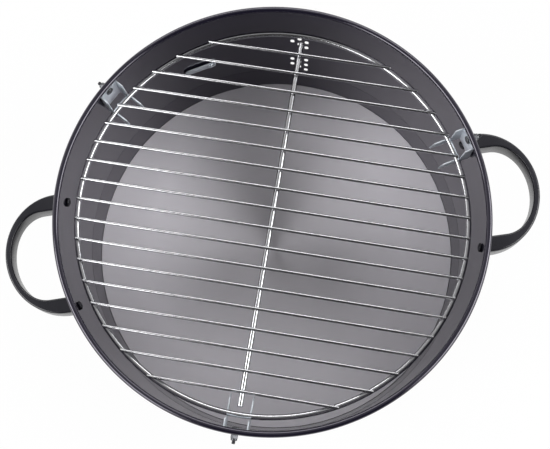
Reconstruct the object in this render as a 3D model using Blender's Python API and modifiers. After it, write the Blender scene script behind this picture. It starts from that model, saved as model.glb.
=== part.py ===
"""Portable charcoal grill: a round steel bowl with a lift-out wire grate on three wall brackets.

Metres, +Z up. The origin is on the floor, on the bowl's axis. The two handles lie along X, and the
vents are in the wall on the +Y side.
"""

import math

import bmesh
import bpy
from mathutils import Matrix, Vector

# Sheets and clearances
WALL_SHEET = 0.0008
PAN_SHEET = 0.0008
BRACKET_SHEET = 0.0010
CLEARANCE = 0.0003

# Bowl wall, turned about the Z axis, with its rim rolled inward
RIM_RADIUS = 0.175
RIM_BEAD_RADIUS = 0.0025
BOWL_HEIGHT = 0.175
WALL_TAPER = math.radians(3.35)
FOOT_WIDTH = 0.006
TURNED_STEPS = 72

# Bottom pan and fire plate inside the wall
PAN_FLOOR_HEIGHT = 0.0094
PAN_FLANGE_TOP = 0.0421
PAN_CORNER_RADIUS = 0.0004
FIRE_PLATE_SHEET = 0.0010
FIRE_PLATE_EDGE = 0.0003

# Vents: two groups of upright slots, one above the other
VENT_ANGLE = math.radians(74)
VENT_HEIGHTS = (0.0583, 0.1075)
SLOT_WIDTH = 0.0035
SLOT_LENGTH = 0.0070
SLOT_COLUMN_PITCH = 0.0063
SLOT_ROW_PITCH = 0.0109

# Cooking grate
RING_INSET = 0.016
RING_WIRE_RADIUS = 0.00225
BAR_WIRE_RADIUS = 0.0013
SPINE_WIRE_RADIUS = 0.0021
BAR_COUNT = 18
BAR_EDGE_SPACE = 0.0179
BAR_ANGLE = math.radians(-17.5)
BAR_OVERHANG = 0.0016
SPINE_END_SPACE = 0.006
GRATE_DROP = 0.0225

# Wall brackets that carry the grate
BRACKET_ANGLES = {"right": 13.1, "rear": 133.5, "front": 252.6}
BRACKET_WIDTH = 0.0195
BRACKET_BEND_RADIUS = 0.0015
BRACKET_TOP_DROP = 0.0056
BRACKET_PLATE_HEIGHT = 0.0300
BRACKET_SHOULDER = 0.0018
BRACKET_ARM_LENGTH = 0.0095
BRACKET_ARM_DROP = 0.0006
BRACKET_TIP_SLOPE = 0.0035
BRACKET_TIP_FALL = 0.0060
BRACKET_TIP_HEIGHT = 0.0020

# Bracket screws and nuts, 3 mm thread
BRACKET_SCREW_RADIUS = 0.0015
BRACKET_SCREW_HEAD_RADIUS = 0.0033
BRACKET_SCREW_HEAD_HEIGHT = 0.0018
BRACKET_SCREW_LENGTH = 0.0116
BRACKET_SCREW_DROP = 0.0100
NUT_FLATS = 0.0055
NUT_HEIGHT = 0.0045

# Handle screws, 4 mm thread
HANDLE_SCREW_RADIUS = 0.0020
HANDLE_SCREW_HEAD_RADIUS = 0.0037
HANDLE_SCREW_HEAD_HEIGHT = 0.0024
HANDLE_SCREW_LENGTH = 0.0090

# Cross recess and shank hole shared by all the screws
RECESS_WIDTH = 0.0009
RECESS_DEPTH = 0.0009
RECESS_SHARE = 1.1

# Handles
HANDLE_STANDOFF = 0.0455
HANDLE_HALF_WIDTH = 0.0498
HANDLE_ROOT_THICKNESS = 0.013
HANDLE_GRIP_THICKNESS = 0.005
HANDLE_OPENING_OFFSET = 0.013
HANDLE_HEIGHT = 0.020
HANDLE_DROP = 0.0390
HANDLE_EDGE_RADIUS = 0.0016
HANDLE_SCREW_ANGLE = math.radians(14.8)
HANDLE_FORWARD_TURN = math.radians(0.5)

# Small clip riveted inside the wall, beside the vents
CLIP_ANGLE = math.radians(105.2)
CLIP_HEIGHT = 0.0835
CLIP_TILT = math.radians(9)
CLIP_LENGTH = 0.030
CLIP_WIDTH = 0.009
CLIP_SHEET = 0.0010
RIVET_RADIUS = 0.0016
RIVET_HEAD_RADIUS = 0.0032
RIVET_HEAD_HEIGHT = 0.0014
RIVET_INSET = 0.0050

OBJECT_NAME = "portable_charcoal_grill"

# Heights and radii that follow from the sizes above
BEAD_CENTRE_RADIUS = RIM_RADIUS - RIM_BEAD_RADIUS
BEAD_CENTRE_HEIGHT = BOWL_HEIGHT - RIM_BEAD_RADIUS
WALL_TOP_RADIUS = RIM_RADIUS - WALL_SHEET
RING_RADIUS = RIM_RADIUS - RING_INSET
GRATE_HEIGHT = BOWL_HEIGHT - GRATE_DROP
BAR_PITCH = 2 * (RING_RADIUS - BAR_EDGE_SPACE) / (BAR_COUNT - 1)
BAR_HEIGHT = GRATE_HEIGHT + RING_WIRE_RADIUS + CLEARANCE + BAR_WIRE_RADIUS
SPINE_HEIGHT = BAR_HEIGHT - BAR_WIRE_RADIUS - CLEARANCE - SPINE_WIRE_RADIUS
SPINE_LENGTH = 2 * (RING_RADIUS - SPINE_END_SPACE)
BAR_END_RADIUS = RING_RADIUS + BAR_OVERHANG
PAN_FLOOR_TOP = PAN_FLOOR_HEIGHT + PAN_SHEET
BRACKET_SCREW_HEIGHT = BOWL_HEIGHT - BRACKET_SCREW_DROP
HANDLE_MID_HEIGHT = BOWL_HEIGHT - HANDLE_DROP
CUT_MARGIN = 0.010


def wall_inner_radius(height):
    """Inside radius of the tapered wall at a height above the floor."""
    return WALL_TOP_RADIUS - (BEAD_CENTRE_HEIGHT - height) * math.tan(WALL_TAPER)


def arc(centre, radius, start_deg, end_deg, steps):
    """Points along a circular arc in a plane, both ends included."""
    points = []
    for i in range(steps + 1):
        angle = math.radians(start_deg + (end_deg - start_deg) * i / steps)
        points.append((centre[0] + radius * math.cos(angle), centre[1] + radius * math.sin(angle)))
    return points


def polar(angle):
    """Unit vector in the floor plane at an angle from +X."""
    return Vector((math.cos(angle), math.sin(angle), 0.0))


def radial_frame(angle, radius=0.0, height=0.0):
    """Frame whose X points outward from the axis at an angle, Y along the wall and Z up."""
    return Matrix.Translation(polar(angle) * radius + Vector((0, 0, height))) @ Matrix.Rotation(angle, 4, "Z")


def inward_frame(angle, radius, height):
    """Frame whose Z points from the wall towards the bowl's axis."""
    return radial_frame(angle, radius, height) @ Matrix.Rotation(-math.pi / 2, 4, "Y")


def clear_scene():
    for obj in list(bpy.data.objects):
        bpy.data.objects.remove(obj)


def new_collection(name):
    collection = bpy.data.collections.new(name)
    bpy.context.scene.collection.children.link(collection)
    return collection


def new_material(name, colour, metallic, roughness):
    material = bpy.data.materials.new(name)
    material.use_nodes = True
    shader = material.node_tree.nodes["Principled BSDF"]
    shader.inputs["Base Color"].default_value = (*colour, 1.0)
    shader.inputs["Metallic"].default_value = metallic
    shader.inputs["Roughness"].default_value = roughness
    material.diffuse_color = (*colour, 1.0)
    return material


def add_object(name, mesh, collection, finish=None):
    obj = bpy.data.objects.new(name, mesh)
    collection.objects.link(obj)
    if finish is not None:
        mesh.materials.clear()
        mesh.materials.append(new_material(f"{name}_finish", *finish))
    return obj


def hide_as_cutter(obj):
    obj.hide_render = True
    obj.display_type = "WIRE"
    return obj


def turned_object(name, profile, collection, closed=False, steps=TURNED_STEPS, finish=None):
    """Solid of revolution about local Z; the profile runs down its outer side."""
    mesh = bpy.data.meshes.new(name)
    count = len(profile)
    edges = [(i, i + 1) for i in range(count - 1)]
    if closed:
        edges.append((count - 1, 0))
    mesh.from_pydata([(r, 0.0, z) for r, z in profile], edges, [])
    obj = add_object(name, mesh, collection, finish)
    screw = obj.modifiers.new("Turn", "SCREW")
    screw.axis = "Z"
    screw.angle = math.tau
    screw.steps = steps
    screw.render_steps = steps
    screw.use_merge_vertices = True
    screw.merge_threshold = 1e-6
    screw.use_smooth_shade = True
    return obj


def baked_mesh(obj, name):
    """The object's shape with its modifiers applied, in its own frame."""
    evaluated = obj.evaluated_get(bpy.context.evaluated_depsgraph_get())
    mesh = bpy.data.meshes.new_from_object(evaluated)
    mesh.name = name
    work = bmesh.new()
    work.from_mesh(mesh)
    bmesh.ops.remove_doubles(work, verts=work.verts, dist=1e-6)
    work.to_mesh(mesh)
    work.free()
    return mesh


def outline_mesh(name, outlines, thickness):
    """Flat sheet in the XY plane, centred on Z = 0, from one outline and any holes in it."""
    curve = bpy.data.curves.new(name, "CURVE")
    curve.dimensions = "2D"
    curve.fill_mode = "BOTH"
    curve.extrude = thickness / 2
    curve.render_resolution_u = 0
    for outline in outlines:
        spline = curve.splines.new("POLY")
        spline.points.add(len(outline) - 1)
        for point, (x, y) in zip(spline.points, outline):
            point.co = (x, y, 0.0, 1.0)
        spline.use_cyclic_u = True
    guide = bpy.data.objects.new(name, curve)
    bpy.context.scene.collection.objects.link(guide)
    bpy.context.view_layer.update()
    mesh = baked_mesh(guide, name)
    bpy.data.objects.remove(guide)
    bpy.data.curves.remove(curve)
    return mesh


def rounded_slot(width, length):
    """Outline of an upright slot with round ends."""
    radius = width / 2
    reach = length / 2 - radius
    return arc((0, reach), radius, 0, 180, 6) + arc((0, -reach), radius, 180, 360, 6)


def cylinder_mesh(name, radius, length, segments=16, top_radius=None):
    """Closed cylinder along Z, centred on the origin; a top radius makes it a cone."""
    mesh = bpy.data.meshes.new(name)
    work = bmesh.new()
    top = radius if top_radius is None else top_radius
    bmesh.ops.create_cone(
        work, cap_ends=True, segments=segments, radius1=radius, radius2=top, depth=length
    )
    work.to_mesh(mesh)
    work.free()
    return mesh


def shade_round(mesh):
    mesh.shade_smooth()
    mesh.set_sharp_from_angle(angle=math.radians(35))


def cut(obj, cutter, name="Cut", operation="DIFFERENCE"):
    """Boolean with one cutter object or a collection of cutters."""
    boolean = obj.modifiers.new(name, "BOOLEAN")
    boolean.operation = operation
    boolean.solver = "EXACT"
    if isinstance(cutter, bpy.types.Collection):
        boolean.operand_type = "COLLECTION"
        boolean.collection = cutter
    else:
        boolean.object = cutter


BLACK_ENAMEL = ((0.018, 0.019, 0.022), 0.0, 0.32)
BARE_STEEL = ((0.56, 0.56, 0.57), 0.9, 0.42)
CHROME_WIRE = ((0.78, 0.79, 0.80), 1.0, 0.16)
ZINC_PLATE = ((0.60, 0.66, 0.70), 0.9, 0.34)
BLACK_STEEL = ((0.03, 0.03, 0.035), 0.6, 0.38)
HANDLE_BLACK = ((0.015, 0.015, 0.018), 0.0, 0.28)


def make_wall(parts, wall_cutters):
    """Tapered wall with its rim rolled inward, turned-in foot, vent slots and screw holes."""
    foot_outer = wall_inner_radius(0.0) + WALL_SHEET
    bead = (BEAD_CENTRE_RADIUS, BEAD_CENTRE_HEIGHT)
    # The bead's circle meets the wall's inner face below its own centre.
    meet = math.degrees(math.acos((WALL_TOP_RADIUS - BEAD_CENTRE_RADIUS) / RIM_BEAD_RADIUS))
    profile = arc(bead, RIM_BEAD_RADIUS, -meet, -360, 14)
    profile += [
        (foot_outer, 0.0),
        (foot_outer - FOOT_WIDTH, 0.0),
        (foot_outer - FOOT_WIDTH, WALL_SHEET),
        (wall_inner_radius(WALL_SHEET), WALL_SHEET),
    ]
    wall = turned_object("bowl_wall", profile, parts, closed=True, finish=BLACK_ENAMEL)
    cut(wall, wall_cutters)
    return wall


def make_vent_cutters(collection):
    """Slots in three staggered columns, for each vent group."""
    rows_by_column = {-1: (-1, 0, 1), 0: (-0.5, 0.5), 1: (0, 1)}
    mesh = outline_mesh("vent_slot", [rounded_slot(SLOT_WIDTH, SLOT_LENGTH)], CUT_MARGIN)
    mesh.transform(Matrix.Rotation(math.pi / 2, 4, "Z") @ Matrix.Rotation(math.pi / 2, 4, "X"))
    for group, height in enumerate(VENT_HEIGHTS):
        radius = wall_inner_radius(height)
        for column, rows in rows_by_column.items():
            angle = VENT_ANGLE + column * SLOT_COLUMN_PITCH / radius
            for row in rows:
                place = radial_frame(angle, radius, height + row * SLOT_ROW_PITCH)
                slot = add_object(f"vent_cutter_{group}_{column}_{row}", mesh, collection)
                slot.matrix_world = place
                hide_as_cutter(slot)


def hole_cutter(name, frame, radius, length, collection):
    """Round cutter along the frame's Z, centred on its origin."""
    cutter = add_object(name, cylinder_mesh(name, radius, length), collection)
    cutter.matrix_world = frame
    return hide_as_cutter(cutter)


def pan_floor_radius():
    """Radius of the pan's flat floor, inside its rounded corner."""
    corner_outer = wall_inner_radius(PAN_FLOOR_TOP + PAN_CORNER_RADIUS) - CLEARANCE
    return corner_outer - PAN_SHEET - PAN_CORNER_RADIUS


def make_pan(parts):
    """Dish that closes the bowl below; its flange lies against the wall's inside."""
    outer_top = wall_inner_radius(PAN_FLANGE_TOP) - CLEARANCE
    corner = (pan_floor_radius(), PAN_FLOOR_TOP + PAN_CORNER_RADIUS)
    profile = [(0.0, PAN_FLOOR_TOP)]
    profile += arc(corner, PAN_CORNER_RADIUS, -90, 0, 4)
    profile += [(outer_top - PAN_SHEET, PAN_FLANGE_TOP), (outer_top, PAN_FLANGE_TOP)]
    profile += arc(corner, PAN_CORNER_RADIUS + PAN_SHEET, 0, -90, 4)
    profile += [(0.0, PAN_FLOOR_HEIGHT)]
    return turned_object("bottom_pan", profile, parts, finish=BLACK_ENAMEL)


def make_fire_plate(parts):
    """Loose bare-metal disc on the pan's floor, under the charcoal."""
    low = PAN_FLOOR_TOP + CLEARANCE
    top = low + FIRE_PLATE_SHEET
    radius = pan_floor_radius() - CLEARANCE
    profile = [
        (0.0, top),
        (radius - FIRE_PLATE_EDGE, top),
        (radius, top - FIRE_PLATE_EDGE),
        (radius, low),
        (0.0, low),
    ]
    return turned_object("fire_plate", profile, parts, finish=BARE_STEEL)


def make_grate(parts):
    """Ring, bars and spine, all carried by one empty that lifts straight up."""
    lift = bpy.data.objects.new("grate_lift", None)
    lift.location = (0.0, 0.0, GRATE_HEIGHT)
    parts.objects.link(lift)

    profile = [
        (RING_RADIUS + RING_WIRE_RADIUS * math.cos(a), RING_WIRE_RADIUS * math.sin(a))
        for a in (-math.tau * i / 10 for i in range(10))
    ]
    ring = turned_object("grate_ring", profile, parts, closed=True, finish=CHROME_WIRE)
    ring.parent = lift

    along = Matrix.Rotation(BAR_ANGLE, 4, "Z") @ Matrix.Rotation(math.pi / 2, 4, "Y")
    for i in range(BAR_COUNT):
        offset = ((BAR_COUNT - 1) / 2 - i) * BAR_PITCH
        length = 2 * math.sqrt(BAR_END_RADIUS**2 - offset**2)
        name = f"grate_bar_{i + 1:02d}"
        mesh = cylinder_mesh(name, BAR_WIRE_RADIUS, length, segments=12)
        shade_round(mesh)
        bar = add_object(name, mesh, parts, CHROME_WIRE)
        across = Vector((-math.sin(BAR_ANGLE), math.cos(BAR_ANGLE), 0.0)) * offset
        height = Vector((0.0, 0.0, BAR_HEIGHT - GRATE_HEIGHT))
        bar.matrix_local = Matrix.Translation(across + height) @ along
        bar.parent = lift

    mesh = cylinder_mesh("grate_spine", SPINE_WIRE_RADIUS, SPINE_LENGTH, segments=14)
    shade_round(mesh)
    spine = add_object("grate_spine", mesh, parts, CHROME_WIRE)
    across = Matrix.Rotation(BAR_ANGLE + math.pi / 2, 4, "Z") @ Matrix.Rotation(math.pi / 2, 4, "Y")
    spine.matrix_local = Matrix.Translation((0.0, 0.0, SPINE_HEIGHT - GRATE_HEIGHT)) @ across
    spine.parent = lift


def bracket_back():
    """Distance from the axis to the bracket's back face, which clears the wall at its lower corners."""
    low = BOWL_HEIGHT - BRACKET_TOP_DROP - BRACKET_PLATE_HEIGHT
    radius = wall_inner_radius(low) - CLEARANCE
    return math.sqrt(radius**2 - (BRACKET_WIDTH / 2) ** 2)


def bracket_side_outline():
    """Side of a bracket as (distance from the axis, height): shoulder, seat, arm and tip."""
    wall_end = bracket_back() + CUT_MARGIN
    top = BOWL_HEIGHT - BRACKET_TOP_DROP
    seat = GRATE_HEIGHT - RING_WIRE_RADIUS - CLEARANCE
    seat_outer = RING_RADIUS + RING_WIRE_RADIUS + CLEARANCE
    # The ring curves inward between the bracket's two sides.
    ring_sag = RING_RADIUS - math.sqrt(RING_RADIUS**2 - (BRACKET_WIDTH / 2) ** 2)
    seat_inner = RING_RADIUS - RING_WIRE_RADIUS - ring_sag - CLEARANCE
    arm_top = GRATE_HEIGHT + RING_WIRE_RADIUS - BRACKET_ARM_DROP
    arm_end = seat_inner - BRACKET_ARM_LENGTH
    tip = arm_end - BRACKET_TIP_SLOPE
    tip_top = arm_top - BRACKET_TIP_FALL
    return [
        (wall_end, top),
        (seat_outer + BRACKET_SHOULDER, top),
        (seat_outer, GRATE_HEIGHT),
        (seat_outer, seat),
        (seat_inner, seat),
        (seat_inner, arm_top),
        (arm_end, arm_top),
        (tip, tip_top),
        (tip, tip_top - BRACKET_TIP_HEIGHT),
        (wall_end, top - BRACKET_PLATE_HEIGHT),
    ]


def bracket_mesh(cutters):
    """U bracket at angle zero: back plate on the wall and two sides with a seat for the ring."""
    back = bracket_back()
    side = bracket_side_outline()
    inner_end = min(r for r, _ in side) - CUT_MARGIN
    half = BRACKET_WIDTH / 2
    inner_bend = BRACKET_BEND_RADIUS - BRACKET_SHEET
    bend_x = back - BRACKET_BEND_RADIUS
    bend_y = half - BRACKET_BEND_RADIUS
    channel = [(inner_end, -half)]
    channel += arc((bend_x, -bend_y), BRACKET_BEND_RADIUS, -90, 0, 4)
    channel += arc((bend_x, bend_y), BRACKET_BEND_RADIUS, 0, 90, 4)
    channel += [(inner_end, half), (inner_end, half - BRACKET_SHEET)]
    channel += arc((bend_x, bend_y), inner_bend, 90, 0, 3)
    channel += arc((bend_x, -bend_y), inner_bend, 0, -90, 3)
    channel += [(inner_end, -half + BRACKET_SHEET)]
    mesh = outline_mesh("bracket_channel", [channel], BRACKET_PLATE_HEIGHT + CUT_MARGIN)
    middle = BOWL_HEIGHT - BRACKET_TOP_DROP - BRACKET_PLATE_HEIGHT / 2
    mesh.transform(Matrix.Translation((0.0, 0.0, middle)))
    blank = add_object("bracket_blank", mesh, cutters)

    side_mesh = outline_mesh("bracket_side", [side], BRACKET_WIDTH + CUT_MARGIN)
    side_mesh.transform(Matrix.Rotation(math.pi / 2, 4, "X"))
    side_solid = hide_as_cutter(add_object("bracket_side", side_mesh, cutters))

    frame = inward_frame(0.0, back, BRACKET_SCREW_HEIGHT)
    hole_radius = BRACKET_SCREW_RADIUS + CLEARANCE
    hole = hole_cutter("bracket_hole", frame, hole_radius, CUT_MARGIN, cutters)

    cut(blank, side_solid, "Side", operation="INTERSECT")
    cut(blank, hole, "Hole")
    bpy.context.view_layer.update()
    shape = baked_mesh(blank, "bracket")
    bpy.data.objects.remove(blank)
    return shape


def screw_mesh(name, thread_radius, head_radius, head_height, length, cutters):
    """Pan-head screw along Z: head above the origin with a cross recess, shank below."""
    dome = [
        (head_radius * math.sin(a), head_height * (0.35 + 0.65 * math.cos(a)))
        for a in (math.radians(10 + 16 * i) for i in range(6))
    ]
    profile = [(0.0, head_height)] + dome
    profile += [(head_radius, 0.0), (thread_radius, 0.0), (thread_radius, -length), (0.0, -length)]
    blank = turned_object(f"{name}_blank", profile, cutters, steps=18)
    for turn in (0, 1):
        bar = bpy.data.meshes.new(f"{name}_recess_{turn}")
        work = bmesh.new()
        bmesh.ops.create_cube(work, size=1.0)
        size = (RECESS_SHARE * head_radius, RECESS_WIDTH, 2 * RECESS_DEPTH)
        bmesh.ops.scale(work, vec=size, verts=work.verts)
        place = Matrix.Translation((0, 0, head_height)) @ Matrix.Rotation(turn * math.pi / 2, 4, "Z")
        bmesh.ops.transform(work, matrix=place, verts=work.verts)
        work.to_mesh(bar)
        work.free()
        recess = hide_as_cutter(add_object(f"{name}_recess_{turn}", bar, cutters))
        cut(blank, recess, f"Recess {turn}")
    bpy.context.view_layer.update()
    shape = baked_mesh(blank, name)
    bpy.data.objects.remove(blank)
    shade_round(shape)
    return shape


def nut_mesh():
    """Six-sided nut along Z, its seat on the origin."""
    corner = NUT_FLATS / 2 / math.cos(math.pi / 6)
    hexagon = arc((0, 0), corner, 0, 300, 5)
    hole = arc((0, 0), BRACKET_SCREW_RADIUS + CLEARANCE, 0, 337.5, 15)
    mesh = outline_mesh("nut", [hexagon, hole], NUT_HEIGHT)
    mesh.transform(Matrix.Translation((0.0, 0.0, -NUT_HEIGHT / 2)))
    return mesh


def make_brackets(parts, cutters, wall_cutters):
    """Three brackets, each with its screw from inside and its nut outside."""
    shape = bracket_mesh(cutters)
    screw_shape = screw_mesh(
        "bracket_screw",
        BRACKET_SCREW_RADIUS,
        BRACKET_SCREW_HEAD_RADIUS,
        BRACKET_SCREW_HEAD_HEIGHT,
        BRACKET_SCREW_LENGTH,
        cutters,
    )
    nut_shape = nut_mesh()
    head_seat = bracket_back() - BRACKET_SHEET - CLEARANCE
    nut_seat = wall_inner_radius(BRACKET_SCREW_HEIGHT) + WALL_SHEET + CLEARANCE
    for side, degrees in BRACKET_ANGLES.items():
        angle = math.radians(degrees)
        bracket = add_object(f"bracket_{side}", shape.copy(), parts, ZINC_PLATE)
        bracket.matrix_world = radial_frame(angle)
        screw = add_object(f"bracket_screw_{side}", screw_shape.copy(), parts, ZINC_PLATE)
        screw.matrix_world = inward_frame(angle, head_seat, BRACKET_SCREW_HEIGHT)
        nut = add_object(f"bracket_nut_{side}", nut_shape.copy(), parts, ZINC_PLATE)
        nut.matrix_world = inward_frame(angle, nut_seat, BRACKET_SCREW_HEIGHT)
        hole_radius = BRACKET_SCREW_RADIUS + CLEARANCE
        hole_cutter(f"wall_hole_{side}", nut.matrix_world, hole_radius, CUT_MARGIN, wall_cutters)


def handle_outline():
    """Loop seen from above, X outward: thick at the wall and thin at the grip."""
    opening_x = RIM_RADIUS + HANDLE_OPENING_OFFSET
    opening_reach = HANDLE_STANDOFF - HANDLE_GRIP_THICKNESS - HANDLE_OPENING_OFFSET
    opening_half = HANDLE_HALF_WIDTH - HANDLE_ROOT_THICKNESS
    steps = 16
    turns = [math.radians(-90 + 180 * i / steps) for i in range(steps + 1)]
    root = RIM_RADIUS - HANDLE_ROOT_THICKNESS - CUT_MARGIN
    outline = [(root, -HANDLE_HALF_WIDTH)]
    outline += [
        (RIM_RADIUS + HANDLE_STANDOFF * math.cos(t), HANDLE_HALF_WIDTH * math.sin(t)) for t in turns
    ]
    outline += [(root, HANDLE_HALF_WIDTH), (root, opening_half)]
    outline += [
        (opening_x + opening_reach * math.cos(t), opening_half * math.sin(t)) for t in reversed(turns)
    ]
    outline += [(root, -opening_half)]
    return outline


def make_handles(parts, cutters, wall_cutters):
    """Two moulded loops, each held by two screws from inside the wall."""
    low = HANDLE_MID_HEIGHT - HANDLE_HEIGHT
    high = HANDLE_MID_HEIGHT + HANDLE_HEIGHT
    outside = WALL_SHEET + CLEARANCE
    bowl_mesh = cylinder_mesh(
        "handle_bowl_cutter",
        wall_inner_radius(low) + outside,
        high - low,
        segments=2 * TURNED_STEPS,
        top_radius=wall_inner_radius(high) + outside,
    )
    bowl_mesh.transform(Matrix.Translation((0.0, 0.0, HANDLE_MID_HEIGHT)))
    bowl = hide_as_cutter(add_object("handle_bowl_cutter", bowl_mesh, cutters))
    screw_shape = screw_mesh(
        "handle_screw",
        HANDLE_SCREW_RADIUS,
        HANDLE_SCREW_HEAD_RADIUS,
        HANDLE_SCREW_HEAD_HEIGHT,
        HANDLE_SCREW_LENGTH,
        cutters,
    )
    seat = wall_inner_radius(HANDLE_MID_HEIGHT) - CLEARANCE
    # Each side's angle, and the direction in which the angle grows towards the rear.
    sides = {
        "right": (-HANDLE_FORWARD_TURN, 1),
        "left": (math.pi + HANDLE_FORWARD_TURN, -1),
    }
    for side, (centre_angle, rearward) in sides.items():
        mesh = outline_mesh(f"handle_{side}", [handle_outline()], HANDLE_HEIGHT)
        handle = add_object(f"handle_{side}", mesh, parts, HANDLE_BLACK)
        handle.matrix_world = radial_frame(centre_angle, 0.0, HANDLE_MID_HEIGHT)
        bevel = handle.modifiers.new("Edges", "BEVEL")
        bevel.width = HANDLE_EDGE_RADIUS
        bevel.segments = 2
        bevel.limit_method = "ANGLE"
        bevel.angle_limit = math.radians(60)
        cut(handle, bowl, "Bowl")
        for end, sign in (("front", -1), ("rear", 1)):
            angle = centre_angle + sign * rearward * HANDLE_SCREW_ANGLE
            name = f"handle_screw_{side}_{end}"
            screw = add_object(name, screw_shape.copy(), parts, BLACK_STEEL)
            screw.matrix_world = inward_frame(angle, seat, HANDLE_MID_HEIGHT)
            reach = 2 * (HANDLE_SCREW_LENGTH + CLEARANCE)
            hole_radius = HANDLE_SCREW_RADIUS + CLEARANCE
            hole = hole_cutter(f"{name}_hole", screw.matrix_world, hole_radius, reach, wall_cutters)
            cut(handle, hole, f"Hole {end}")


def make_clip(parts, cutters, wall_cutters):
    """Small strip on the wall's inside, held at one end by a rivet through the wall."""
    wall = wall_inner_radius(CLIP_HEIGHT)
    # The flat strip touches the round wall with its ends and its lower edge first.
    drop = (CLIP_WIDTH / 2 + CLIP_LENGTH / 2 * math.sin(CLIP_TILT)) * math.tan(WALL_TAPER)
    face = math.sqrt((wall - drop - CLEARANCE) ** 2 - (CLIP_LENGTH / 2) ** 2)
    radius = CLIP_WIDTH / 2
    reach = CLIP_LENGTH / 2 - radius
    outline = arc((reach, 0), radius, -90, 90, 8)
    outline += [(-CLIP_LENGTH / 2, radius), (-CLIP_LENGTH / 2, -radius)]
    hole = arc((-CLIP_LENGTH / 2 + RIVET_INSET, 0), RIVET_RADIUS + CLEARANCE, 0, 337.5, 15)
    mesh = outline_mesh("wall_clip", [outline, hole], CLIP_SHEET)
    mesh.transform(Matrix.Rotation(math.pi / 2, 4, "Z") @ Matrix.Rotation(math.pi / 2, 4, "X"))
    clip = add_object("wall_clip", mesh, parts, ZINC_PLATE)
    tilt = Matrix.Rotation(CLIP_TILT, 4, "X")
    clip.matrix_world = radial_frame(CLIP_ANGLE, face - CLIP_SHEET / 2, CLIP_HEIGHT) @ tilt

    rivet_y = -CLIP_LENGTH / 2 + RIVET_INSET
    inner = face - CLIP_SHEET - CLEARANCE
    outer = wall + WALL_SHEET + CLEARANCE
    dome = [(RIVET_HEAD_RADIUS * math.cos(a), RIVET_HEAD_HEIGHT * math.sin(a))
            for a in (math.radians(90 - 22.5 * i) for i in range(5))]
    dome[0] = (0.0, RIVET_HEAD_HEIGHT)
    profile = dome + [(RIVET_RADIUS, 0.0), (RIVET_RADIUS, inner - outer)]
    profile += [(r, inner - outer - z) for r, z in reversed(dome)]
    rivet = turned_object("wall_clip_rivet", profile, parts, steps=16, finish=ZINC_PLATE)
    rivet.matrix_world = (
        radial_frame(CLIP_ANGLE, inner, CLIP_HEIGHT)
        @ tilt
        @ Matrix.Translation((0.0, rivet_y, 0.0))
        @ Matrix.Rotation(-math.pi / 2, 4, "Y")
    )
    hole_radius = RIVET_RADIUS + CLEARANCE
    hole_cutter("rivet_hole", rivet.matrix_world, hole_radius, CUT_MARGIN, wall_cutters)


def main():
    clear_scene()
    parts = new_collection(OBJECT_NAME)
    cutters = new_collection("cutters")
    wall_cutters = new_collection("wall_cutters")
    make_wall(parts, wall_cutters)
    make_vent_cutters(wall_cutters)
    make_pan(parts)
    make_fire_plate(parts)
    make_grate(parts)
    make_brackets(parts, cutters, wall_cutters)
    make_handles(parts, cutters, wall_cutters)
    make_clip(parts, cutters, wall_cutters)


main()
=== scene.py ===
"""Looks for the portable charcoal grill: finer pieces, finishes, studio and camera.

Metres, +Z up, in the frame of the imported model: the origin is on the floor, on the bowl's axis.
"""

import math

import bmesh
import bpy
from mathutils import Matrix, Vector

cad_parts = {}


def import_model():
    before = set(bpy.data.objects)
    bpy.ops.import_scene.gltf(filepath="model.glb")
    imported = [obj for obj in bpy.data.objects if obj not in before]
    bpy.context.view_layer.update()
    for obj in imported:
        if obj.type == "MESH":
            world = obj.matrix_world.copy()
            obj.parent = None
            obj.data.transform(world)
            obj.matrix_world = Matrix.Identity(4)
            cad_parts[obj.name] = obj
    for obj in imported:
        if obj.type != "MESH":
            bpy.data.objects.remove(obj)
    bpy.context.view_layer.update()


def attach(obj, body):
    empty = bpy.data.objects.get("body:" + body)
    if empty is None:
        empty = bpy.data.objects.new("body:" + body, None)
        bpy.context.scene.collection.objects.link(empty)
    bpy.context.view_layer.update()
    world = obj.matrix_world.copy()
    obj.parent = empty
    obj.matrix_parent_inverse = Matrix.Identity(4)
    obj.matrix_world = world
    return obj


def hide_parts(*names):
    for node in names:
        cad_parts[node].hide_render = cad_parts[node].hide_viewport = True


# Camera
LENS = 73.87
SENSOR_WIDTH = 36.0
CAMERA_PLACE = Vector((-0.004244, -0.192037, 1.048960))
CAMERA_LOOK = Vector((-0.002144, 0.210188, -0.977659))
CAMERA_UP = Vector((0.143133, 0.967659, 0.207724))
CAMERA_SHIFT = (0.0200, -0.0097)
CAMERA_NEAR = 0.01

# Surroundings as mirrored: white at the horizon and both sides, dimmer overhead, dark in front.
# Each band is a range of one part of the direction, over which the brightness changes.
FILL_LEVEL = 0.18
SKY_LEVEL = 0.44
FRONT_LEVEL = 0.07
HORIZON_BAND = (0.08, 0.35)
SIDE_BAND = (0.35, 0.75)
FRONT_BAND = (-0.40, 0.12)

# Lamps: place, width and depth, watts
LAMP_TARGET = Vector((0.0, 0.0, 0.1))
LAMPS = {
    "right_lamp": (Vector((1.20, -0.40, 1.05)), (1.5, 0.80), 22.0),
    "left_lamp": (Vector((-1.20, -0.40, 1.05)), (1.5, 0.80), 22.0),
    "back_lamp": (Vector((0.25, 1.30, 1.15)), (1.7, 0.60), 13.0),
}

# Floor
FLOOR_HALF_WIDTH = 3.0
FLOOR_THICKNESS = 0.010
FLOOR_GAP = 0.0002
FLOOR_COLOUR = (0.86, 0.86, 0.86, 1.0)
FLOOR_GLOW_SHARE = 0.95

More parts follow.
